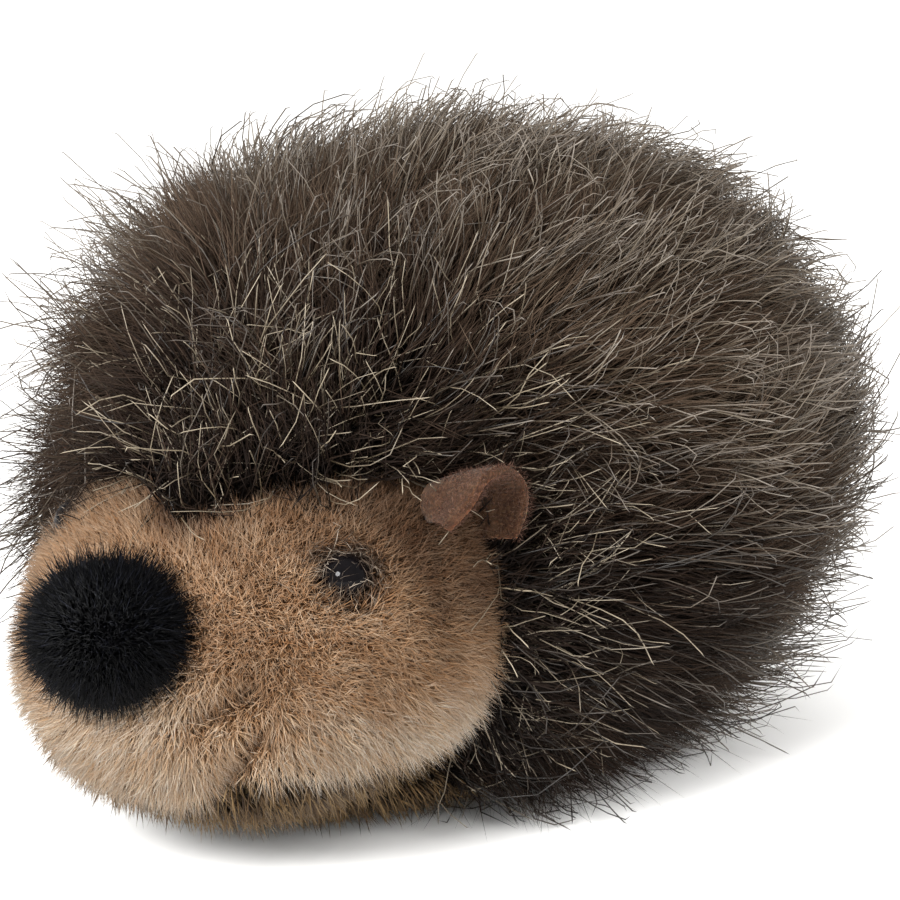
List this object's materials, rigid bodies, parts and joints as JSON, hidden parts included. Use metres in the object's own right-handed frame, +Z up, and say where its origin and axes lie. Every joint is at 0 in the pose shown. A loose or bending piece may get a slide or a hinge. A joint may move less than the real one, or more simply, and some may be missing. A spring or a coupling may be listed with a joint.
{
  "type": "plush toy hedgehog",
  "caption": "Plush toy hedgehog lying on its belly, with a long-pile back coat, a short-pile face, a round black nose, bead eyes and folded felt ears.",
  "frame": {"origin": "middle of the toy's outline, on the floor it lies on", "axes": "+Z up, the nose towards -Y, the toy's left side towards +X"},
  "size_m": [0.113, 0.1498, 0.093],
  "materials": {
    "back_pelt": "long dark brown plush pile with pale tips",
    "face_plush": "short tan plush pile",
    "underside_plush": "short olive-brown plush pile",
    "nose_plush": "short black plush pile",
    "eye_bead": "polished black",
    "ear_felt": "matte brown felt"
  },
  "bodies": {
    "root": {"trunk": "back_pelt", "head": "face_plush", "belly": "underside_plush", "nose": "nose_plush", "eye_left": "eye_bead", "eye_right": "eye_bead", "ear_left": "ear_felt", "ear_right": "ear_felt"}
  },
  "joints": []
}
